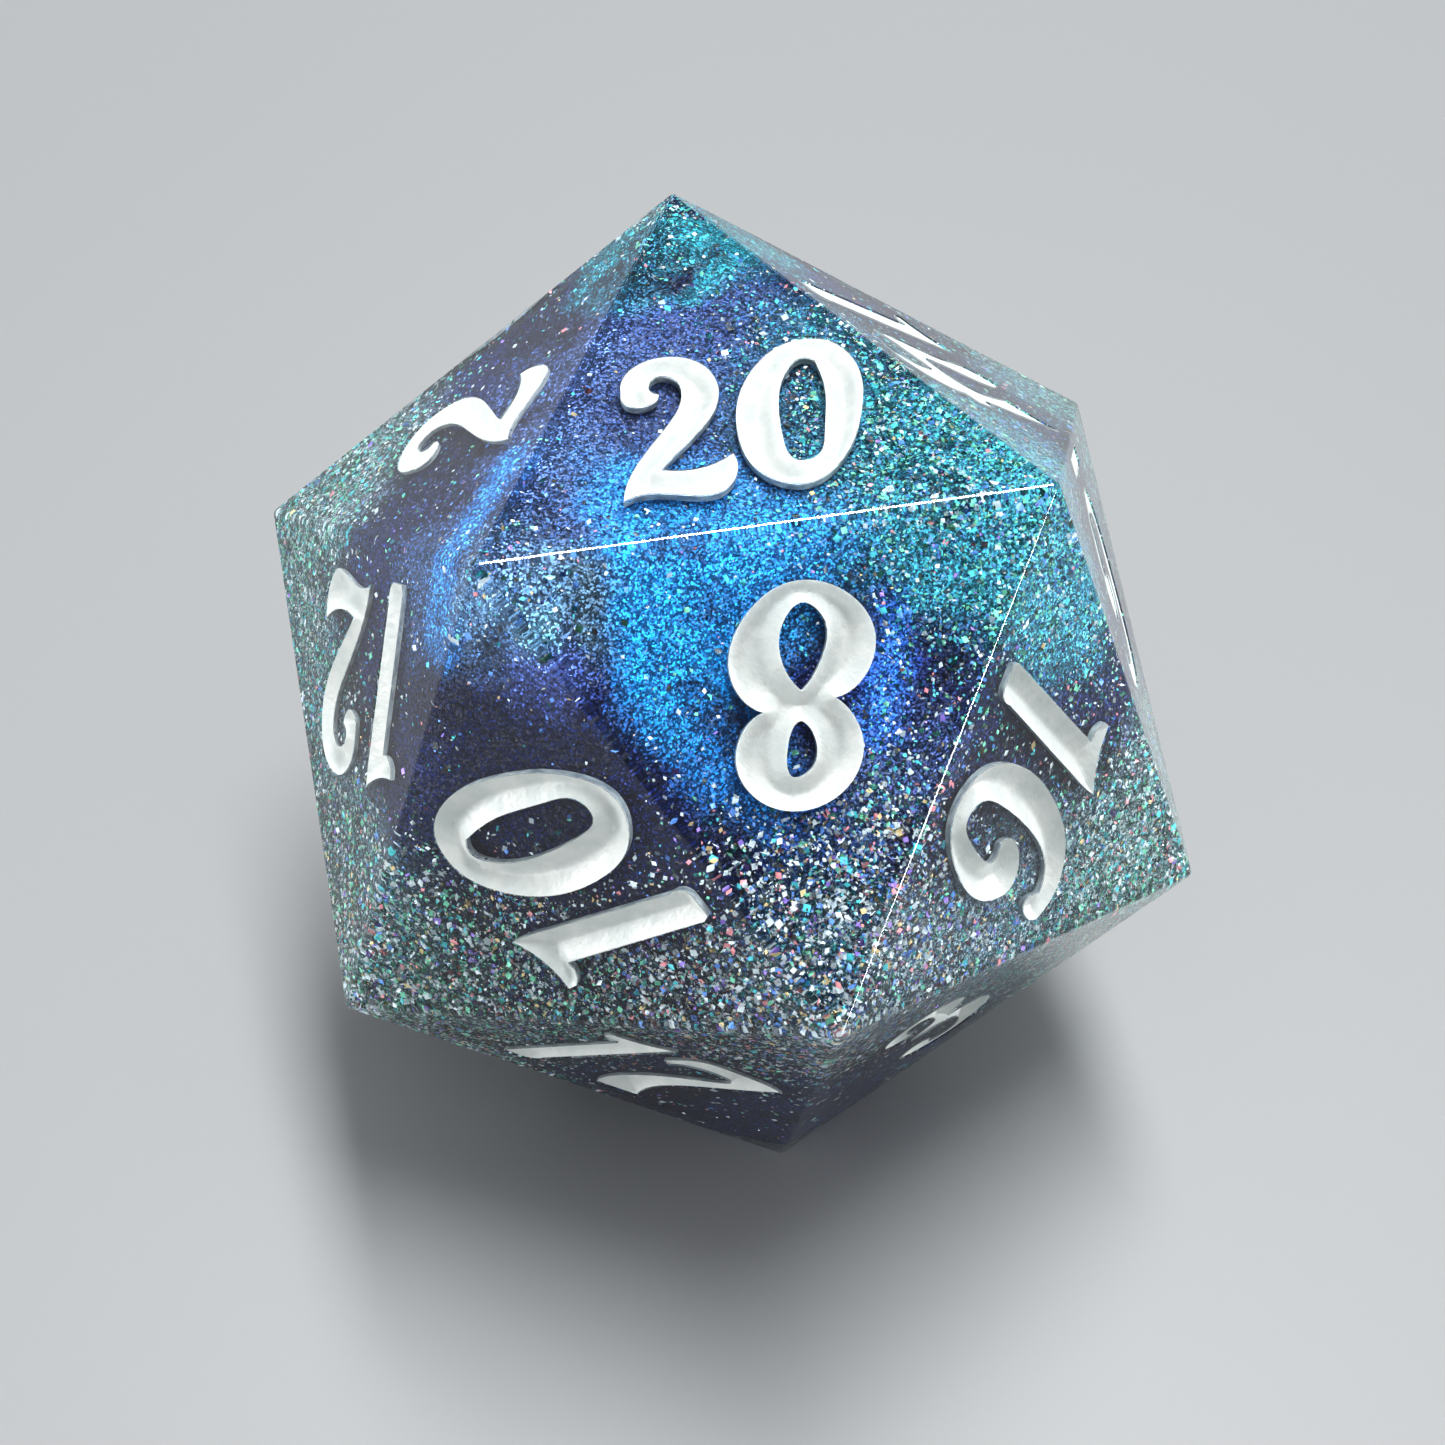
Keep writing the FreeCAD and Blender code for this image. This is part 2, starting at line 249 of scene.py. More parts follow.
# Clouds of mica and fine dust in the pigment, each laid over those before it. The core's
# surface is where a face's three weights add up to about 0.9.
CLOUDS = [
    # (centre, radius in mm, softness of its rim, colour)
    (towards(E=0.44, D=0.44), 4.8, 0.9, colour(112, 144, 154)),
    (towards(F=0.44, P=0.44), 4.8, 0.9, colour(164, 194, 212)),
    (towards(A=0.38, B=0.34, C=0.20), 5.6, 0.5, colour(52, 70, 126)),
    (towards(A=0.45, B=0.42, D=0.05), 4.5, 0.8, colour(60, 82, 132)),
    (towards(A=0.34, C=0.54, B=0.06), 5.0, 0.8, colour(38, 106, 130)),
    (towards(C=0.90), 5.8, 0.8, colour(66, 166, 196)),
    (towards(A=0.84, G=0.05), 3.3, 0.4, colour(40, 138, 158)),
    (towards(B=0.64, C=0.10, A=0.20), 3.6, 0.8, colour(62, 88, 136)),
    (towards(B=0.61, C=0.18, A=0.16), 1.9, 0.7, colour(50, 136, 220)),
    (towards(B=0.50, C=0.34, A=0.10), 2.8, 0.8, colour(34, 126, 202)),
    (towards(C=0.56, B=0.34, P=0.06), 2.8, 0.8, colour(44, 128, 182)),
    (towards(B=0.46, C=0.42, P=0.06), 2.8, 0.8, colour(34, 142, 228)),
    (towards(P=0.36, C=0.42, B=0.16), 3.8, 0.8, colour(22, 36, 100)),
    (towards(P=0.56, C=0.32, B=0.08), 2.8, 0.9, colour(76, 98, 146)),
    (towards(P=0.46, B=0.30, E=0.16), 4.0, 0.6, colour(8, 20, 68)),
    (towards(B=0.40, E=0.32, P=0.18), 4.6, 0.6, colour(8, 24, 76)),
    (towards(B=0.61, P=0.09, C=0.25), 2.9, 0.7, colour(32, 150, 238)),
    (towards(B=0.49, P=0.25, C=0.21), 2.7, 0.6, colour(28, 148, 236)),
    (towards(P=0.45, C=0.17, B=0.33), 2.3, 0.8, colour(30, 134, 228)),
    (towards(P=0.58, C=0.18, B=0.18), 2.2, 0.9, colour(38, 98, 184)),
    (towards(C=0.77, P=0.07, B=0.10), 2.8, 0.8, colour(62, 170, 202)),
    (towards(F=0.14, C=0.77, P=0.02), 3.4, 0.8, colour(90, 190, 226)),
    (towards(B=0.77, P=0.11, C=0.07), 2.0, 0.6, colour(72, 100, 122)),
    (towards(B=0.74, P=0.13, E=0.07), 1.7, 0.7, colour(80, 102, 184)),
    (towards(B=0.82, P=0.09, E=0.02), 1.0, 0.8, colour(112, 186, 190)),
    (towards(B=0.92, E=0.06), 2.5, 0.8, colour(134, 188, 242)),
    (towards(B=0.70, D=0.18, E=0.05), 2.6, 0.9, colour(62, 96, 148)),
    (towards(D=0.88), 6.2, 0.9, colour(180, 212, 216)),
    (towards(F=0.88), 6.4, 0.9, colour(214, 250, 252)),
    (towards(P=0.80, F=0.12, C=0.02), 3.2, 0.9, colour(180, 214, 224)),
    (towards(E=0.88), 5.2, 0.9, colour(126, 166, 176)),
    (towards(P=0.90), 4.0, 0.9, colour(88, 132, 148)),
    (towards(G=0.88), 6.0, 0.9, colour(96, 150, 164)),
    (towards(Q=0.55, G=0.30), 5.0, 0.6, colour(30, 120, 216)),
    (towards(S=0.60, D=0.25), 4.6, 0.6, colour(70, 82, 168)),
    (towards(R=0.86), 4.0, 0.8, colour(40, 128, 150)),
]


# Narrow streaks of bright mica, along lines between two points.
STREAKS = [
    # (start, end, radius in mm, softness of its rim, colour)
    (towards(B=0.72, E=0.14, D=0.08), towards(B=0.82, D=0.12), 1.0, 0.8, colour(58, 152, 244)),
    (towards(B=0.82, D=0.12), towards(B=0.62, A=0.23, D=0.09), 0.9, 0.9, colour(54, 140, 236)),
    (towards(P=0.16, C=0.58, B=0.20), towards(P=0.40, C=0.42, B=0.12), 0.8, 0.9,
     colour(52, 120, 240)),
]


NAVY, VIOLET = colour(8, 17, 54), colour(22, 38, 98)
SWIRL_REACH = 5.0           # mm that the swirl pulls the clouds' outlines about
STREAK_REACH = 0.25         # of the same, for the streaks
GRAIN_SCALE = 21.0          # grains of mica to the millimetre
GRAIN_LEAN = 0.9            # how far a grain tips from the surface


def pigment_material():
    """Dark pigment with clouds of mica powder in navy, violet, bright blue and teal."""
    g = Graph("pigment")
    place = g.millimetres()
    swirl = g.noise(place, 0.22, 5.0, 0.6, colour=True)
    shift = g.scaled(g.vector("SUBTRACT", swirl, (0.5, 0.5, 0.5)), SWIRL_REACH)
    warped = g.vector("ADD", place, shift)
    wisps = g.noise(warped, 0.4, 4.0, 0.5)
    tint = g.mix(g.ramp(wisps, 0.35, 0.70), NAVY, VIOLET)
    in_clouds = g.ramp(wisps, 0.28, 0.52)
    in_streaks = g.ramp(wisps, 0.26, 0.50)
    for centre, radius, soft, mica in CLOUDS:
        distance = g.vector("DISTANCE", warped, tuple(centre))
        near = g.ramp(distance, radius, radius * (1 - soft))
        tint = g.mix(g.math("MULTIPLY", near, in_clouds), tint, mica)
    little = g.vector("ADD", place, g.scaled(shift, STREAK_REACH))
    for start, end, radius, soft, mica in STREAKS:
        distance = g.line_distance(little, start, end)
        near = g.ramp(distance, radius, radius * (1 - soft))
        tint = g.mix(g.math("MULTIPLY", near, in_streaks), tint, mica)
    grain = g.cells(place, GRAIN_SCALE)
    parts = g.add("SeparateColor", Color=grain)
    # Painted glints: one grain in a few has its colour raised up to about four times over, so it
    # sparkles from any side.
    spark = g.math("POWER", parts.outputs["Red"], 5.0)
    shine = g.math("MULTIPLY_ADD", spark, 4.0, 0.36)
    bright = g.scaled(tint, shine)
    lean = g.scaled(g.vector("SUBTRACT", grain, (0.5, 0.5, 0.5)), GRAIN_LEAN)
    facing = g.add("NewGeometry").outputs["Normal"]
    normal = g.vector("NORMALIZE", g.vector("ADD", facing, lean))
    surface = g.add("BsdfPrincipled", Base_Color=bright, Roughness=0.38, Metallic=0.5,
                    Normal=normal)
    return g.finish(surface.outputs[0])


def paint_material():
    """White paint in the grooves: satin, a little uneven, with greyer streaks scattered at random
    through it.
    """
    g = Graph("white_paint")
    place = g.millimetres()
    tone = g.noise(place, 1.4, 4.0)
    clean = g.mix(g.ramp(tone, 0.3, 0.7), colour(220, 228, 226), colour(240, 244, 241))
    streaks = g.noise(place, 3.0, 5.0, 0.7)
    tint = g.mix(g.ramp(streaks, 0.60, 0.78, 0.0, 0.45), clean, colour(150, 156, 156))
    lumps = g.noise(place, 5.0, 3.0)
    bump = g.add("Bump", Strength=0.5, Distance=MM, Height=g.math("MULTIPLY", lumps, 0.05))
    paint = g.add("BsdfPrincipled", Base_Color=tint, Normal=bump.outputs[0],
                  Roughness=g.ramp(tone, 0.2, 0.8, 0.40, 0.28))
    return g.finish(paint.outputs[0])


def groove_wall_shade_material():
    """The groove's steep wall, in grey: painted shade, darker than the paint, that draws a thin
    outline round each number.
    """
    g = Graph("groove_wall")
    # Painted shade: a noise sets each patch of the wall between mid and light grey.
    thin = g.noise(g.millimetres(), 2.5, 4.0)
    tint = g.mix(g.ramp(thin, 0.3, 0.7), colour(96, 106, 116), colour(176, 186, 188))
    wall = g.add("BsdfPrincipled", Base_Color=tint, Roughness=0.4)
    return g.finish(wall.outputs[0])


def glitter_material(name, tint):
    """Foil: some flakes are frosted and pale from any side, the rest are dark until they flash."""
    g = Graph("glitter_" + name)
    flake = g.add("NewGeometry").outputs["Random Per Island"]
    foil = g.add("BsdfPrincipled", Metallic=g.ramp(flake, 0.42, 0.56, 0.94, 0.15),
                 Roughness=g.ramp(flake, 0.42, 0.56, 0.22, 0.40),
                 Base_Color=g.mix(g.ramp(flake, 0.30, 0.70, 0.72, 0.0), tint, (0, 0, 0, 1)))
    return g.finish(foil.outputs[0])


def large_flake_material():
    """Holographic foil: each flake has its own colour, under a thin film."""
    g = Graph("large_flakes")
    own = g.cells(g.millimetres(), 0.5)
    tint = g.mix(0.55, own, colour(240, 228, 232))
    foil = g.add("BsdfPrincipled", Base_Color=tint, Metallic=0.6, Roughness=0.25,
                 Thin_Film_Thickness=420.0, Thin_Film_IOR=1.6)
    return g.finish(foil.outputs[0])


# --- the numbers' outlines ------------------------------------------------------------------

def outline_loops(name, normal):
    """The closed outlines of a number's outer end, in order, from its CAD solid."""
    work = bmesh.new()
    work.from_mesh(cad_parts[name].data)
    bmesh.ops.remove_doubles(work, verts=work.verts, dist=1e-7)
    heights = {vertex: vertex.co.dot(normal) for vertex in work.verts}
    top = max(heights.values())
    bottom = min(heights.values())
    level = [face for face in work.faces
             if all(heights[vertex] > top - 1e-6 for vertex in face.verts)]
    following = {}
    level_set = set(level)
    for face in level:
        for loop in face.loops:
            if sum(other in level_set for other in loop.edge.link_faces) == 1:
                following[loop.vert] = loop.link_loop_next.vert
    loops = []
    while following:
        start, vertex = following.popitem()
        chain = [start.co.copy()]
        while vertex in following:
            chain.append(vertex.co.copy())
            vertex = following.pop(vertex)
        loops.append(chain)
    work.free()
    return loops, top, bottom


def grown(loop, amount):
    """A loop moved outwards: its inside is on the left as it is walked."""
    before = loop - np.roll(loop, 1, axis=0)
    after = np.roll(loop, -1, axis=0) - loop
    along = before / np.linalg.norm(before, axis=1)[:, None]
    along += after / np.linalg.norm(after, axis=1)[:, None]
    along /= np.maximum(np.linalg.norm(along, axis=1), 1e-9)[:, None]
    return loop + np.stack([along[:, 1], -along[:, 0]], axis=1) * amount


def inside(points, loops):
    """Even-odd test of points against all the loops of a number."""
    within = np.zeros(len(points), bool)
    x, y = points.T
    for loop in loops:
        for (x1, y1), (x2, y2) in zip(loop, np.roll(loop, -1, axis=0)):
            crosses = (y1 > y) != (y2 > y)
            if crosses.any():
                at = x1 + (y - y1) * (x2 - x1) / (y2 - y1 if y2 != y1 else 1e-12)
                within ^= crosses & (x < at)
    return within


def rim_distance(points, loops):
    """Distance of each point from the nearest outline."""
    nearest = np.full(len(points), np.inf)
    for loop in loops:
        for start, end in zip(loop, np.roll(loop, -1, axis=0)):
            side = end - start
            length = max(side @ side, 1e-18)
            share = np.clip((points - start) @ side / length, 0, 1)
            gap = np.linalg.norm(points - start - share[:, None] * side, axis=1)
            nearest = np.minimum(nearest, gap)
    return nearest


class NumberPlane:
    """The plane of a number's face, and the number's outlines in it."""

    def __init__(self, name):
        low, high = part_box(name)
        middle = np.array((low + high) / 2) - CENTRE
        self.face = (NORMALS @ middle).argmax()
        normal = Vector(NORMALS[self.face])
        right = normal.orthogonal().normalized()
        up = normal.cross(right)
        solid_loops, self.top, self.bottom = outline_loops(name, normal)
        self.loops = [np.array([(point.dot(right), point.dot(up)) for point in loop])
                      for loop in solid_loops]
        self.normal, self.right, self.up = np.array(normal), np.array(right), np.array(up)


NUMBERS = {name: NumberPlane(name) for name in
           ["numeral_%02d" % number for number in range(1, 21)]}


# --- pieces --------------------------------------------------------------------------------

def mesh_piece(name, vertices, faces, material, smooth=False):
    mesh = bpy.data.meshes.new(name)
    mesh.from_pydata(vertices, [], faces)
    mesh.polygons.foreach_set("use_smooth", [smooth] * len(mesh.polygons))
    mesh.materials.append(material)
    mesh.update()
    piece = bpy.data.objects.new(name, mesh)
    bpy.context.scene.collection.objects.link(piece)
    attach(piece, "root")
    return piece


CORE_INRADIUS = 9.88 * MM       # 0.6 mm under the faces
CORE_POWER = 120                # how sharp its edges are
CORE_LUMPS = 0.004              # of its radius


def core_reach(directions):
    """The pigment's outer surface: a rounded icosahedron with gentle lumps."""
    reach = rounded_reach(directions, CORE_INRADIUS, CORE_POWER)
    x, y, z = directions.T
    lumps = (np.sin(5 * x + 2 * y + 1) * np.sin(4 * y - 3 * z) + 0.5 * np.sin(9 * z + 4 * x)
             * np.cos(8 * y))
    return reach * (1 + CORE_LUMPS * lumps)


def make_pigment():
    work = bmesh.new()
    bmesh.ops.create_icosphere(work, subdivisions=7, radius=1)
    directions = np.array([vertex.co.normalized() for vertex in work.verts])
    faces = [[vertex.index for vertex in face.verts] for face in work.faces]
    work.free()
    points = directions * core_reach(directions)[:, None] + CENTRE
    piece = mesh_piece("pigment_cloud", points.tolist(), faces, pigment_material(),
                       smooth=True)
    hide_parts("pigment_core", "blue_mica_plume", "teal_mica_plume")
    return piece


GLITTER_COUNT = 96000
FLAKE_MEDIAN, FLAKE_SPREAD = 0.092, 0.44        # of the widths, in mm, as a lognormal
FLAKE_LARGEST = 0.26 * MM
FLAKE_FOLD = 0.012 * MM
FLAKE_MARGIN = 0.16 * MM                        # kept from the faces and the numbers
FLAKE_TIPPING = 0.75                            # how far they tip from the mould's wall
GLITTER = {
    # name: (colour, share of the flakes, vertices it gathers at)
    "silver": (colour(232, 244, 250), 0.42, "PEFHD"),
    "mint": (colour(140, 240, 200), 0.17, "CGFED"),
    "teal": (colour(84, 216, 228), 0.21, "CAGDF"),
    "blue": (colour(106, 164, 254), 0.09, "BCPQS"),
    "violet": (colour(178, 142, 254), 0.03, "PEHRS"),
    "pink": (colour(255, 160, 168), 0.04, "PEHFR"),
    "gold": (colour(255, 224, 164), 0.04, "PEHFS"),
}


def smooth_near(points, centre, radius):
    """1 at the centre falling smoothly to 0 at the radius, for points in millimetres."""
    share = np.clip(1 - np.linalg.norm(points - centre, axis=1) / radius, 0, 1)
    return share * share * (3 - 2 * share)


# Where glitter gathers in the casting, and the drifts of mica that it keeps out of.
GATHERED = [
    # (centre, radius in mm, how much more there is there)
    (towards(P=0.9), 7.5, 1.6), (towards(E=0.9), 7.0, 1.5), (towards(F=0.9), 7.5, 1.15),
    (towards(E=0.46, P=0.46), 6.0, 1.3), (towards(E=0.36, P=0.40, B=0.14), 4.5, 1.0),
    (towards(F=0.46, P=0.46), 6.5, 1.2),
    (towards(P=0.56, C=0.32, B=0.08), 4.0, 0.8), (towards(C=0.66, A=0.16, B=0.12), 4.0, 0.8),
    (towards(E=0.46, D=0.46), 5.5, 1.1), (towards(D=0.9), 6.5, 1.4), (towards(C=0.9), 7.5, 1.6),
    (towards(A=0.38, C=0.52, B=0.06), 6.0, 1.3), (towards(A=0.95), 3.6, 0.9),
    (towards(B=0.92), 3.0, 0.6), (towards(G=0.9), 6.5, 1.2), (towards(Q=0.9), 6.5, 0.9),
    (towards(R=0.9), 7.0, 0.9), (towards(S=0.9), 7.5, 1.0),
]
SPARSE = [
    # (centre, radius in mm, share that is lost there)
    (towards(B=0.56, P=0.20, E=0.18), 5.0, 0.85), (towards(A=0.48, B=0.44), 6.0, 0.8),
    (towards(P=0.28, B=0.42, C=0.20), 4.5, 0.4), (towards(P=0.50, B=0.35, E=0.10), 3.0, 0.6),
    (towards(H=0.9), 9.0, 0.9), (towards(E=0.47, B=0.42, D=0.08), 3.0, 0.5),
]
GLITTER_EVERYWHERE = 0.22


def glitter_density(points):
    """How much glitter hangs in the resin at these points, in millimetres about the centre."""
    density = np.full(len(points), GLITTER_EVERYWHERE)
    for centre, radius, gain in GATHERED:
        density += gain * smooth_near(points, centre, radius)
    for centre, radius, loss in SPARSE:
        density *= 1 - loss * smooth_near(points, centre, radius)
    return density


HOME_RADIUS = 10.0              # in mm
CHANCE_AWAY, CHANCE_AT_HOME = 0.4, 1.2


def at_home(points, names):
    """1 at the vertices where one colour of glitter gathers, 0 away from them all."""
    return np.max([smooth_near(points, VERTICES[name] / MM, HOME_RADIUS) for name in names],
                  axis=0)


def clear_of_numbers(points, margin):
    """Which points aren't in a number's groove or this close to it."""
    clear = np.ones(len(points), bool)
    face = (points @ NORMALS.T).argmax(axis=1)
    for plane in NUMBERS.values():
        height = (points + CENTRE) @ plane.normal
        near = (face == plane.face) & (height > plane.bottom - margin)
        flat = np.stack([(points[near] + CENTRE) @ plane.right,
                         (points[near] + CENTRE) @ plane.up], axis=1)
        clear[near] &= ~inside(flat, [grown(loop, margin) for loop in plane.loops])
    return clear


DEEPEST_RESIN = 3 * MM      # over the pigment, at the die's corners


def scatter(count, margin, names):
    """Places in the clear resin between the pigment and the faces, denser where glitter is."""
    places = []
    found = 0
    while found < count:
        directions = RNG.normal(size=(2 * count, 3))
        directions /= np.linalg.norm(directions, axis=1)[:, None]
        low = core_reach(directions)
        high = face_reach(directions, ACROSS / 2 - margin)
        points = directions * (low + RNG.random(2 * count) * (high - low))[:, None]
        near = points / MM
        home = CHANCE_AWAY + CHANCE_AT_HOME * at_home(near, names)
        chance = glitter_density(near) * home
        chance *= (high - low) / DEEPEST_RESIN
        points = points[(high > low) & (RNG.random(2 * count) < chance)]
        points = points[clear_of_numbers(points, margin)]
        places.append(points)
        found += len(points)
    return np.concatenate(places)[:count] + CENTRE


def random_turns(places):
    """Two perpendicular unit vectors in each flake and its normal, which leans towards the
    die's nearest face: the flakes lay themselves flat along the mould's walls."""
    count = len(places)
    facing = NORMALS[((places - CENTRE) @ NORMALS.T).argmax(axis=1)]
    normal = facing + FLAKE_TIPPING * RNG.normal(size=(count, 3))
    normal /= np.linalg.norm(normal, axis=1)[:, None]
    along = np.cross(normal, RNG.normal(size=(count, 3)))
    along /= np.linalg.norm(along, axis=1)[:, None]
    return along, np.cross(normal, along), normal


def flake_mesh(places, widths):
    """Closed four-cornered plates with a slight fold, one at each place."""
    count = len(places)
    along, across, normal = random_turns(places)
    along *= widths[:, None] / 2
    across *= (widths * RNG.uniform(0.5, 1.0, count))[:, None] / 2
    fold = normal * FLAKE_FOLD / 2
    tips = [fold + along, across - fold, fold - along, -across - fold]
    vertices = np.stack([places + tip for tip in tips], axis=1).reshape(-1, 3)
    pattern = np.array([(0, 1, 2), (0, 2, 3), (0, 3, 1), (2, 1, 3)])
    faces = (np.arange(count)[:, None, None] * 4 + pattern[None]).reshape(-1, 3)
    return vertices.tolist(), faces.tolist()


COARSE_GAIN = 0.3
COARSE_RADIUS = 12.0            # in mm, about these vertices
COARSE_AT = "PEFHD"


def coarseness(points):
    """How much larger the flakes are here than the finest ones."""
    return 1 + COARSE_GAIN * np.max([smooth_near(points, VERTICES[name] / MM, COARSE_RADIUS)
                                     for name in COARSE_AT], axis=0)


def make_glitter():
    for name, (tint, share, names) in GLITTER.items():
        places = scatter(int(GLITTER_COUNT * share), FLAKE_MARGIN, names)
        widths = RNG.lognormal(math.log(FLAKE_MEDIAN), FLAKE_SPREAD, len(places)) * MM
        widths = np.minimum(widths * coarseness((places - CENTRE) / MM), FLAKE_LARGEST)
        vertices, faces = flake_mesh(places, widths)
        mesh_piece("glitter_" + name, vertices, faces, glitter_material(name, tint))


def islands(mesh):
    """The vertex numbers of each separate solid in a mesh whose doubles are merged."""
    work = bmesh.new()
    work.from_mesh(mesh)
    bmesh.ops.remove_doubles(work, verts=work.verts, dist=1e-7)
    work.verts.ensure_lookup_table()
    seen = set()
    groups = []
    for start in work.verts:
        if start.index in seen:
            continue
        stack, group = [start], []
        seen.add(start.index)
        while stack:
            vertex = stack.pop()
            group.append(vertex.index)
            for edge in vertex.link_edges:
                other = edge.other_vert(vertex)
                if other.index not in seen:
                    seen.add(other.index)
                    stack.append(other)
        groups.append(group)
    points = np.array([vertex.co for vertex in work.verts])
    faces = [[vertex.index for vertex in face.verts] for face in work.faces]
    work.free()
    return points, faces, groups


LARGE_FLAKE_GROWTH = 1.08


def make_large_flakes():
    """The CAD model's flakes, a hair larger so that they fill their places in the resin."""
    points, faces, groups = islands(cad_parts["glitter_flakes"].data)
    for group in groups:
        middle = points[group].mean(axis=0)
        points[group] = middle + (points[group] - middle) * LARGE_FLAKE_GROWTH
    piece = mesh_piece("large_flakes", points.tolist(), faces, large_flake_material())
    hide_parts("glitter_flakes")


PAINT_STEP = 0.08 * MM          # between the points of the paint's surface
PAINT_DEPTH = 0.33 * MM         # of the valley, below the rim
PAINT_SLOPE = 0.52 * MM         # from the rim to where the valley is deepest
PAINT_CURVE = 1.3               # above 1, the valley's side is steepest at the rim
PAINT_OVERLAP = 0.006 * MM      # into the groove's wall and floor


def triangulated(points, edges, loops):
    """Triangles that fill the loops, whose corners come first among the points."""
    result = delaunay_2d_cdt([Vector(point) for point in points / MM], edges, [], 0, 1e-6)
    origin = [ids[0] if ids else None for ids in result[3]]
    triangles = np.array([[origin[i] for i in face] for face in result[2]
                          if all(origin[i] is not None for i in face)])
    return triangles[inside(points[triangles].mean(axis=1), loops)]


def make_number(name, plane, paint, wall):
    """Paint that lines a number's groove: high at the rim, sunk along each stroke's middle."""
    loops = [grown(loop, PAINT_OVERLAP) for loop in plane.loops]
    corners = np.concatenate(loops)
    low, high = corners.min(axis=0), corners.max(axis=0)
    columns = np.arange(low[0], high[0], PAINT_STEP)
    rows = np.arange(low[1], high[1], PAINT_STEP * 0.866)
    grid = np.array([(x + (row % 2) * PAINT_STEP / 2, y) for row, y in enumerate(rows)
                     for x in columns])
    grid = grid[inside(grid, loops)]
    from_rim = rim_distance(grid, loops)
    keep = from_rim > PAINT_STEP * 0.45
    grid = grid[keep]
    share = np.clip(from_rim[keep] / PAINT_SLOPE, 0, 1)
    sunk = np.concatenate([np.zeros(len(corners)), PAINT_DEPTH * (1 - (1 - share) ** PAINT_CURVE)])
    flat = np.concatenate([corners, grid])
    edges = []
    first = 0
    for loop in loops:
        edges += [(first + i, first + (i + 1) % len(loop)) for i in range(len(loop))]
        first += len(loop)
    base = flat[:, :1] * plane.right + flat[:, 1:] * plane.up
    upper = base + (plane.top - sunk)[:, None] * plane.normal
    lower = base[:len(corners)] + (plane.bottom - PAINT_OVERLAP) * plane.normal
    shift = len(flat)
    faces = triangulated(flat, edges, loops).tolist()
    painted = len(faces)
    faces += (triangulated(corners, edges, loops)[:, ::-1] + shift).tolist()
    faces += [(b, a, a + shift, b + shift) for a, b in edges]
    piece = mesh_piece("paint_" + name[-2:], np.concatenate([upper, lower]).tolist(), faces,
                       paint, smooth=True)
    # The groove's walls take the second material, grey with painted shade.
    piece.data.materials.append(wall)
    on_wall = [int(index >= painted) for index in range(len(faces))]
    piece.data.polygons.foreach_set("material_index", on_wall)
    piece.data.set_sharp_from_angle(angle=math.radians(50))
    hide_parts(name)


def make_numbers():
    paint, wall = paint_material(), groove_wall_shade_material()
    for name, plane in NUMBERS.items():
        make_number(name, plane, paint, wall)


# --- stage ---------------------------------------------------------------------------------

FLOOR_REACH = 3.0


def make_floor():
    g = Graph("pale_floor")
    place = g.add("TexCoord").outputs["Object"]
    tone = g.noise(place, 6.0, 3.0)
    tint = g.mix(tone, (0.33, 0.34, 0.35, 1), (0.37, 0.38, 0.39, 1))
    surface = g.add("BsdfPrincipled", Base_Color=tint, Roughness=0.45)
    corners = [(x * FLOOR_REACH, y * FLOOR_REACH, 0)
               for x, y in ((-1, -1), (1, -1), (1, 1), (-1, 1))]
    mesh = bpy.data.meshes.new("floor")
    mesh.from_pydata(corners, [], [(0, 1, 2, 3)])
    mesh.materials.append(g.finish(surface.outputs[0]))
    floor = bpy.data.objects.new("floor", mesh)
    bpy.context.scene.collection.objects.link(floor)
    return floor


def receivers(name, state, *objects):
    """A group of objects that a lamp shines on (INCLUDE) or leaves out (EXCLUDE)."""
    group = bpy.data.collections.new(name)
    for piece in objects:
        group.objects.link(piece)
    for entry in group.collection_objects:
        entry.light_linking.link_state = state
    return group


LAMPS = {
    # name: (place, width, length, power)
    # Light on the glitter, the pigment and the paint.
    "inside": {
        "overhead": ((0.055, 0.105, 0.36), 0.085, 0.32, 1.66),
        "left": ((-0.599, 0.160, 0.095), 0.16, 0.16, 1.75),
        "front_left": ((-0.585, -0.180, 0.120), 0.16, 0.16, 1.25),
        "front_right": ((0.387, -0.428, 0.205), 0.18, 0.18, 0.55),
        "right": ((0.620, 0.018, 0.095), 0.16, 0.16, 2.35),
    },
    # What the polished block mirrors: two strips in its edges, and wide boxes in its sides.
    "block_only": {
        "upper_edge_strip": ((0.066, 0.170, 0.36), 0.12, 0.20, 4.20),
        "right_edge_strip": ((0.327, -0.434, 0.264), 0.16, 0.16, 2.30),
        "left_gloss": ((-0.700, 0.100, 0.250), 0.40, 0.40, 0.75),
        "right_gloss": ((0.700, 0.100, 0.250), 0.40, 0.40, 0.75),
        "back_gloss": ((0.100, 0.750, 0.250), 0.50, 0.30, 0.70),
    },
    # Light on the floor, even out to where the other views see it. The key casts the shadow.
    "floor_only": {
        "floor_key": ((0.165, 0.315, 1.08), 0.25, 0.96, 14.5),
        "floor_fill": ((0.0, 0.0, 1.5), 3.0, 3.0, 22.0),
    },
}
HANGS_ABOVE = 0.3
STUDIO_GREY = (0.62, 0.66, 0.70, 1)
STUDIO_STRENGTH = 0.12


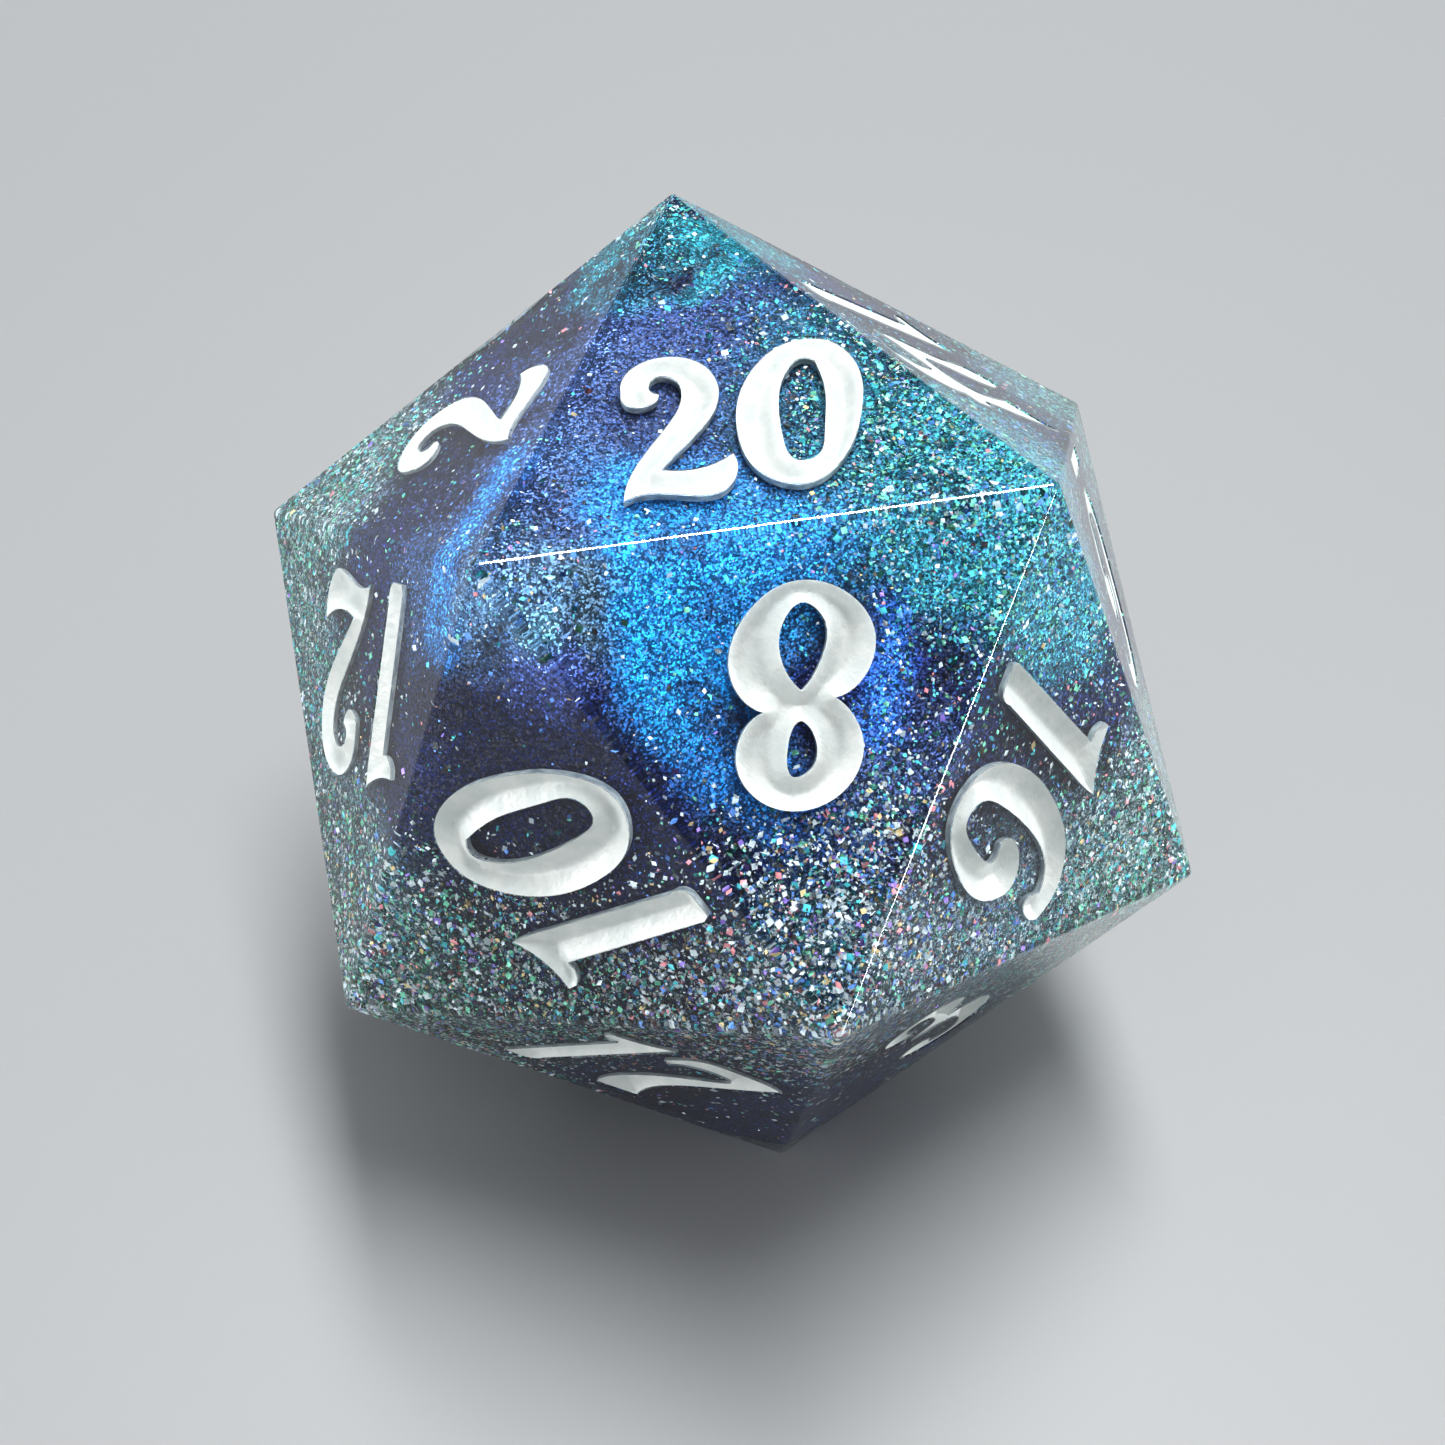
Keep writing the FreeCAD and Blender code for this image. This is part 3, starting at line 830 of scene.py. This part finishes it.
def area_light(name, place, width, length, power, group):
    """A soft box: one that stands to the side aims at the die, one that hangs aims down."""
    data = bpy.data.lights.new(name, "AREA")
    data.shape = "RECTANGLE"
    data.size = width
    data.size_y = length
    data.energy = power
    light = bpy.data.objects.new(name, data)
    light.location = place
    if place[2] < HANGS_ABOVE:
        aim = Vector(CENTRE) - Vector(place)
        light.rotation_euler = aim.to_track_quat("-Z", "Y").to_euler()
    light.visible_camera = False
    light.light_linking.receiver_collection = group
    bpy.context.scene.collection.objects.link(light)


def make_lights(block, floor):
    groups = {"inside": receivers("inside", "EXCLUDE", block, floor),
              "block_only": receivers("block_only", "INCLUDE", block),
              "floor_only": receivers("floor_only", "INCLUDE", floor)}
    for group, lamps in LAMPS.items():
        for name, settings in lamps.items():
            area_light(name, *settings, groups[group])
    world = bpy.data.worlds.new("studio")
    world.use_nodes = True
    background = world.node_tree.nodes["Background"]
    background.inputs["Color"].default_value = STUDIO_GREY
    background.inputs["Strength"].default_value = STUDIO_STRENGTH
    bpy.context.scene.world = world
    bpy.context.scene.view_settings.view_transform = "Standard"


CAMERA_ANGLES = (12.44, 49.97, 1.23)            # azimuth, elevation and roll, in degrees
CAMERA_DISTANCE = 79.5 * MM
CAMERA_AIM = (-0.29, -0.59, 9.96)               # in mm
CAMERA_LENS = 74.2


def make_camera():
    """Looks down at the die from the front, a little from its left, with a slight roll."""
    azimuth, elevation, roll = (math.radians(value) for value in CAMERA_ANGLES)
    aim = Vector(CAMERA_AIM) * MM
    forward = Vector((math.sin(azimuth) * math.cos(elevation),
                      math.cos(azimuth) * math.cos(elevation), -math.sin(elevation)))
    level_right = forward.cross(Vector((0, 0, 1))).normalized()
    level_up = level_right.cross(forward)
    right = level_right * math.cos(roll) + level_up * math.sin(roll)
    up = right.cross(forward)
    data = bpy.data.cameras.new("camera")
    data.lens = CAMERA_LENS
    data.sensor_width = 36
    data.clip_start = 0.001
    camera = bpy.data.objects.new("camera", data)
    turn = Matrix((right, up, -forward)).transposed().to_4x4()
    camera.matrix_world = Matrix.Translation(aim - forward * CAMERA_DISTANCE) @ turn
    bpy.context.scene.collection.objects.link(camera)
    bpy.context.scene.camera = camera


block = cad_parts["resin_block"]
make_camera()
make_lights(block, make_floor())
block.data.materials.clear()
block.data.materials.append(resin_material())
make_pigment()
make_glitter()
make_large_flakes()
make_numbers()
